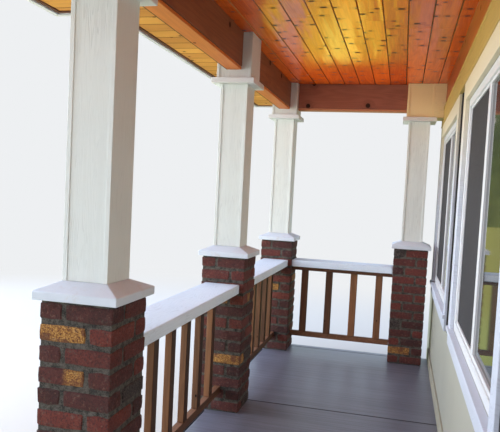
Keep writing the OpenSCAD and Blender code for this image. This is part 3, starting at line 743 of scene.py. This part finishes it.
# Frieze and head band: a knotty stained board under the ceiling, and below it
# a pale olive band with a cap bead, over the windows.
FRIEZE_BUTTS, BUTT_HALF = (-1.15, 1.35), 0.0006
BAND_BACK, BEAD_H, BEAD_LAP, EDGE_H = 0.004, 0.024, 0.002, 0.012
frieze_stain = stained_wood("frieze_stain", srgb(140, 58, 18), srgb(190, 94, 32), "Y",
                            (0.14, 0.22, 0.018, 0.013), 0.36, 0.3, 0.8, 3.0)
low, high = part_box("wall_frieze")
frieze_end = high.y
cuts = [low.y, *FRIEZE_BUTTS, high.y]
parts = [give(box_between("frieze", (low.x, y0 + BUTT_HALF, low.z), (high.x, y1 - BUTT_HALF, high.z), 0.002),
              "tone", 0.3 + 0.4 * ceiling_rng.random()) for y0, y1 in zip(cuts, cuts[1:])]
dress(joined("frieze_boards", parts), frieze_stain, "pine_boards", "wall_frieze")
olive_paint = grained_paint("olive_paint", srgb(196, 166, 86), srgb(184, 154, 76), (9, 3, 60), 0.5)
low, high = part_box("wall_head_band")
foot_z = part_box("wall_head_boxes")[0].z
parts = [box_between("band", (low.x + BAND_BACK, -frieze_end, foot_z - 0.004),
                     (high.x, frieze_end, high.z - BEAD_H + BEAD_LAP), 0.002),
         box_between("bead", (low.x, -frieze_end, high.z - BEAD_H), (high.x, frieze_end, high.z), 0.006, 3),
         box_between("foot", (low.x + BAND_BACK, low.y, low.z), (high.x, high.y, foot_z), 0.002),
         box_between("edge", (low.x, low.y, low.z), (high.x, high.y, low.z + EDGE_H), 0.003)]
dress(joined("head_band_board", parts), olive_paint, "band_paint", "wall_head_band")

# Soffits: short boards of the same pine across the eaves outside the beams,
# notched round the head blocks, stained paler than the ceiling as painted daylight.
# Painted light: both colours are paler than the ceiling's pine, standing in for daylight on the eaves.
sunlit_soffit_pine = stained_wood("sunlit_soffit_pine", srgb(193, 114, 44), srgb(236, 164, 72), "X",
                           (0.137, 0.30, 0.014, 0.014), 0.32, 0.4, 0.7, 3.0)
soffit_rng = random.Random(8)


def cut(piece, planes, keep=False):
    """Cuts a piece in edit mode by planes, each a point and a normal. Unless all is to be kept, what
    lies on the normal's side is cleared and the cut is closed."""
    lone(piece)
    bpy.ops.object.mode_set(mode="EDIT")
    for point, normal in planes:
        bpy.ops.mesh.select_all(action="SELECT")
        bpy.ops.mesh.bisect(plane_co=point, plane_no=normal, use_fill=not keep, clear_outer=not keep)
    bpy.ops.object.mode_set(mode="OBJECT")
    return piece


def soffit_boards(node, name):
    """The node's sheet cut into boards across the eave, with a V between them."""
    low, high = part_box(node)
    parts, y = [], low.y
    while y < high.y - 0.02:
        step = min(BOARD_COVER, high.y - y)
        board = cut(eased_copy(node, "slice", 0), (((0, y + BOARD_GAP, 0), (0, -1, 0)),
                                                   ((0, y + step - BOARD_GAP, 0), (0, 1, 0))))
        if len(board.data.polygons):
            arris = board.modifiers.new("arris", "BEVEL")
            arris.width, arris.segments, arris.angle_limit = 0.003, 1, BEND_ABOVE
            bpy.ops.object.modifier_apply(modifier=arris.name)
            parts.append(give(board, "tone", soffit_rng.random()))
        else:
            bpy.data.objects.remove(board)
        y += step
    return joined(name, parts)


for node, name in (("front_soffit", "front_soffit_boards"), ("entry_soffit", "entry_soffit_boards"),
                   ("end_soffits", "end_soffit_boards")):
    dress(soffit_boards(node, name), sunlit_soffit_pine, "pine_boards", node)

# Eaves: a stained strip closes the soffit, a white fascia board stands outside
# it, and an open white gutter hangs on the fascia of both front eaves.
edge_stain = stained_wood("edge_stain", srgb(84, 44, 36), srgb(124, 70, 56), "Y", (0.2, 0.6, 0.008, 0.010))
piece = eased_copy("soffit_edge_trim", "stained_edge_strip", 0.002)
dress(give(piece, "tone", 0.5), edge_stain, "dark_stain", "soffit_edge_trim")
fascia_paint = grained_paint("fascia_paint", srgb(222, 225, 228), srgb(212, 216, 220), (8, 3, 90), 0.45)
dress(eased_copy("fascia", "fascia_boards", 0.002), fascia_paint, "white_paint", "fascia")
gutter_coat = Finish("gutter_coat", 0.32)
streaks = gutter_coat.noise(1.0, 4.0, point=gutter_coat.place((30, 30, 2)))
streaks = gutter_coat.ease(streaks, 0.55, 0.8) * 0.4
gutter_coat.paint(streaks, srgb(226, 228, 230), srgb(178, 176, 168))
gutter_coat.bump(gutter_coat.noise(6, 2.0), 0.15, 0.002)
dress(eased_copy("gutters", "sheet_gutters", 0.0008, 1), gutter_coat, "gutter_metal", "gutters")

# Roof deck: sheathing boards nailed across the rafters, seen only at the
# eaves' edges.
deck_wood = stained_wood("deck_wood", srgb(84, 74, 62), srgb(122, 110, 94), "Y", (0.3, 0.6, 0.010, 0.014), 0.75)
dress(give(eased_copy("roof_deck", "deck_boards", 0.0), "tone", 0.5), deck_wood, "roof_board", "roof_deck")

# Shingles: mineral felt tabs nailed in courses from the eaves up, each course
# lapped by the next and its slots out of step, with folded caps over the hips.
SHINGLE_W, SHINGLE_RUN, SLOT_W, BUTT_T, HEAD_T, LAY_DRAW = 0.300, 0.140, 0.007, 0.008, 0.003, 0.12
CAP_W, CAP_T, CAP_SINK = 0.260, 0.005, 0.001
shingle_rng = random.Random(3)
low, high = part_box("roof_shingles")
corners = [vertex.co.copy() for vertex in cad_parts["roof_shingles"].data.vertices]
step_y = max(corner.y for corner in corners if corner.x < low.x + 0.001)
ridge_y = max(corner.y for corner in corners if corner.z > high.z - 0.001)
main_eave = min(corner.x for corner in corners if corner.y > high.y - 0.001)
roof_rise = high.z - low.z - BUTT_T


def roof_height(eave_x, x, y):
    """Height of the felt's underside over a point of the plan."""
    front = (x - eave_x) / (high.x - eave_x)
    return low.z + roof_rise * min(front, (high.y - abs(y)) / (high.y - ridge_y))


def on_roof(piece, eave_x):
    """Lifts a piece laid out in plan onto the slopes over an eave."""
    for vertex in piece.data.vertices:
        vertex.co.z += roof_height(eave_x, vertex.co.x, vertex.co.y)
    return piece


def laid(kind, across, uphill, place):
    """One more tab or cap, turned to its two directions in plan and moved to its place."""
    mesh = kind.data.copy()
    mesh.transform(Matrix((across, uphill, (0, 0, 1))).transposed().to_4x4())
    mesh.transform(Matrix.Translation(place))
    return give(linked("laid", mesh), "tone", shingle_rng.random())


def laid_slope(eave_x, outline, uphill):
    """Courses of tabs over the outline, which is a slope's corners in plan, anticlockwise."""
    outline = [Vector((x, y, 0)) for x, y in outline]
    uphill = Vector(uphill)
    level = Vector((-uphill.y, uphill.x, 0))
    runs, widths = ([corner.dot(way) for corner in outline] for way in (uphill, level))
    tabs, row = [], 0
    while min(runs) + row * SHINGLE_RUN < max(runs):
        along = min(widths) - SHINGLE_W * (0.5 * (row % 2) + LAY_DRAW * shingle_rng.random())
        while along < max(widths):
            tabs.append(laid(tab_kind, level, uphill, uphill * (min(runs) + row * SHINGLE_RUN) + level * along))
            along += SHINGLE_W
        row += 1
    sides = [(corner, following - corner) for corner, following in zip(outline, outline[1:] + outline[:1])]
    return on_roof(cut(joined("slope", tabs), [(corner, (side.y, -side.x, 0)) for corner, side in sides]), eave_x)


tab_kind = box_between("tab", (SLOT_W / 2, 0, 0), (SHINGLE_W - SLOT_W / 2, SHINGLE_RUN, BUTT_T))
for vertex in tab_kind.data.vertices:
    if vertex.co.y > SHINGLE_RUN / 2 and vertex.co.z > 0:
        vertex.co.z = HEAD_T
slopes = [
    laid_slope(low.x, [(low.x, low.y), (high.x, -ridge_y), (high.x, step_y), (low.x, step_y)], (1, 0, 0)),
    laid_slope(low.x, [(low.x, low.y), (high.x, low.y), (high.x, -ridge_y)], (0, 1, 0)),
    laid_slope(main_eave, [(main_eave, step_y), (high.x, step_y), (high.x, ridge_y), (main_eave, high.y)], (1, 0, 0)),
    laid_slope(main_eave, [(main_eave, high.y), (high.x, ridge_y), (high.x, high.y)], (0, -1, 0))]
bpy.data.objects.remove(tab_kind)
cap_kind = box_between("cap", (-CAP_W / 2, 0, BUTT_T - CAP_SINK), (CAP_W / 2, SHINGLE_RUN, BUTT_T + CAP_T))
for vertex in cap_kind.data.vertices:
    if vertex.co.y > 0 and vertex.co.z > BUTT_T:
        vertex.co.z = BUTT_T + CAP_SINK
cut(cap_kind, [((0, 0, 0), (1, 0, 0))], keep=True)
for eave_x, side_y in ((low.x, low.y), (main_eave, high.y)):
    foot = Vector((eave_x, side_y, 0))
    hip = Vector((high.x, math.copysign(ridge_y, side_y), 0)) - foot
    uphill, across = hip.normalized(), Vector((hip.y, -hip.x, 0)).normalized()
    caps = joined("hip_caps", [laid(cap_kind, across, uphill, foot + uphill * SHINGLE_RUN * number)
                               for number in range(int(hip.length / SHINGLE_RUN))])
    cut(caps, [(foot, (-1, 0, 0)), (foot, (0, math.copysign(1, side_y), 0))])
    slopes.append(on_roof(caps, eave_x))
bpy.data.objects.remove(cap_kind)
felt = eased_copy("roof_shingles", "felt", 0.0)
for vertex in felt.data.vertices:
    over_entry = vertex.co.y <= step_y + 0.0005 and vertex.co.x < main_eave - 0.001
    underside = roof_height(low.x if over_entry else main_eave, vertex.co.x, vertex.co.y)
    if abs(vertex.co.z - underside) > BUTT_T / 2:
        vertex.co.z -= BUTT_T - HEAD_T / 2
slate = Finish("mineral_shingle", 0.9)
granule = slate.noise(420, 2.0)
patch = slate.noise(5.0)
speck = granule * 0.5 + patch * 0.25 + slate.stored("tone") * 0.3
slate.paint(speck, srgb(40, 40, 44), srgb(112, 109, 108))
slate.bump(granule, 0.5, 0.0015)
dress(joined("shingle_courses", slopes + [give(felt, "tone", 0.0)]), slate, "shingle", "roof_shingles")

# Flashing: a folded strip of grey sheet nailed up the wall over the top course
# and down both hips.
FLASHING_FACE, FLASHING_BACK, FLASHING_H = 0.003, 0.0005, 0.055
flashing = box_between("flashing", (high.x - FLASHING_FACE, low.y, BUTT_T),
                       (high.x - FLASHING_BACK, high.y, BUTT_T + FLASHING_H))
cut(flashing, [((0, fold_y, 0), (0, 1, 0)) for fold_y in (-ridge_y, ridge_y)], keep=True)
for vertex in flashing.data.vertices:
    vertex.co.z += roof_height(low.x, high.x, vertex.co.y)
grey_sheet = Finish("grey_sheet", 0.45)
weather = grey_sheet.noise(1.0, 4.0, point=grey_sheet.place((6, 6, 40)))
grey_sheet.paint(weather, srgb(122, 125, 128), srgb(160, 162, 164))
grey_sheet.bump(grey_sheet.noise(14, 2.0), 0.2, 0.002)
dress(flashing, grey_sheet, "gutter_metal")

# House wall: framed wall faced with smooth painted panels, a low trim board at
# its foot, and dark strips in the slots between neighbouring windows.
panel_paint = Finish("panel_paint", 0.6)
mist = panel_paint.noise(2.4, 4.0)
panel_paint.paint(mist, srgb(186, 184, 168), srgb(174, 173, 158))
panel_paint.bump(panel_paint.noise(160, 2.0), 0.25, 0.0012)
for node, name in (("wall_below_windows", "lower_panels"), ("wall_above_windows", "upper_panels"),
                   ("wall_end_panels", "end_panels"), ("wall_window_posts", "post_panels")):
    dress(eased_copy(node, name, 0.0), panel_paint, "wall_siding", node)
base_paint = grained_paint("base_paint", srgb(182, 176, 154), srgb(170, 165, 145), (9, 3, 90), 0.5)
dress(eased_copy("wall_base_trim", "base_board", 0.004, 3), base_paint, "wall_siding", "wall_base_trim")
WINDOW_W, WINDOW_PITCH, WINDOW_SHIFT, CASING_W = 1.790, 2.120, 0.280, 0.105
STRIP_W, STRIP_FACE, STRIP_BACK = 0.055, 0.007, 0.0002
window_centres = [WINDOW_SHIFT + step * WINDOW_PITCH for step in (-1, 0, 1)]
low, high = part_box("window_casings")
strip_black = Finish("black_weather_strip", 0.8)
mottle = strip_black.noise(40)
strip_black.paint(mottle, srgb(12, 11, 10), srgb(26, 23, 21))
strip_black.bump(strip_black.noise(400, 2.0), 0.2, 0.0005)
parts = []
for y in window_centres:
    for y0 in (y - WINDOW_W / 2 - STRIP_W, y + WINDOW_W / 2):
        parts.append(box_between("slot", (high.x - STRIP_FACE, y0, low.z + 0.002),
                                 (high.x - STRIP_BACK, y0 + STRIP_W, high.z - 0.001), 0.0015, 1))
dress(joined("window_edge_strips", parts), strip_black, "wall_siding")

# Windows: white casing boards and a sill board planted on the wall, a moulded
# frame in the opening, and two sliding sashes with a pane each.
casing_paint = grained_paint("casing_paint", srgb(212, 217, 226), srgb(202, 208, 218), (9, 60, 60), 0.45)
# Painted light: the casings turn warm yellow towards their tops, standing in for warm light thrown down from the
# ceiling.
TOP_WARMTH_FROM, TOP_WARMTH_FULL = 1.5, 2.35
casing_paint.warm(casing_paint.ease(casing_paint.part(casing_paint.place(), "Z"), TOP_WARMTH_FROM, TOP_WARMTH_FULL),
                  srgb(226, 214, 176))
dress(eased_copy("window_casings", "casing_boards", 0.0025, 3), casing_paint, "window_white", "window_casings")
vinyl = Finish("white_vinyl", 0.35)
vinyl.paint(vinyl.noise(6), srgb(228, 229, 228), srgb(218, 220, 220))
vinyl.bump(vinyl.noise(300, 2.0), 0.08, 0.0006)
dress(eased_copy("window_frames", "frame_profiles", 0.003, 3), vinyl, "window_white", "window_frames")
dress(eased_copy("window_sashes", "sash_profiles", 0.003, 3), vinyl, "window_white", "window_sashes")
glass = Finish("dark_room_glass", 0.04)
wave = glass.noise(1.3, 2.0)
glass.paint(wave, srgb(46, 50, 50), srgb(62, 66, 64))
glass.bump(wave, 0.03, 0.01)
dress(eased_copy("window_glass", "panes", 0.0005, 1), glass, "window_glass", "window_glass")

# Insect screens: charcoal mesh in a thin metal frame, clipped into the front
# track over the sliding sash in the far half of each window.
frame_low, frame_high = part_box("window_frames")
SCREEN_X, SCREEN_T, SCREEN_RIM, INNER_RIM = frame_low.x + 0.0085, 0.009, 0.016, 0.010
MESH_BACK, MESH_T, MEETING, FRAME_T = 0.006, 0.001, 0.0230, 0.045
screen_mesh = Finish("charcoal_mesh", 0.9)
weave = [screen_mesh.node("TexWave", {"bands_direction": letter}, {"Vector": screen_mesh.place(), "Scale": 200.0})
         for letter in "YZ"]
haze = screen_mesh.noise(3.0)
screen_mesh.paint(haze, srgb(48, 47, 49), srgb(62, 60, 61))
screen_mesh.bump(weave[0] + weave[1], 0.3, 0.0006)
meshes, rims = [], []
for y in window_centres:
    y0, y1 = y + MEETING, y + WINDOW_W / 2 - CASING_W - FRAME_T - SLACK
    z0, z1 = frame_low.z + FRAME_T + SLACK, frame_high.z - FRAME_T - SLACK
    meshes.append(box_between("mesh", (SCREEN_X + MESH_BACK, y0 + INNER_RIM, z0 + INNER_RIM),
                              (SCREEN_X + MESH_BACK + MESH_T, y1 - INNER_RIM, z1 - INNER_RIM)))
    for left, foot, right, top in ((y0, z0, y0 + INNER_RIM, z1), (y1 - SCREEN_RIM, z0, y1, z1),
                                   (y0, z0, y1, z0 + SCREEN_RIM), (y0, z1 - SCREEN_RIM, y1, z1)):
        rims.append(box_between("rim", (SCREEN_X, left, foot), (SCREEN_X + SCREEN_T, right, top), 0.0012))
dress(joined("screen_meshes", meshes), screen_mesh, "window_glass")
dress(joined("screen_rims", rims), vinyl, "window_white")
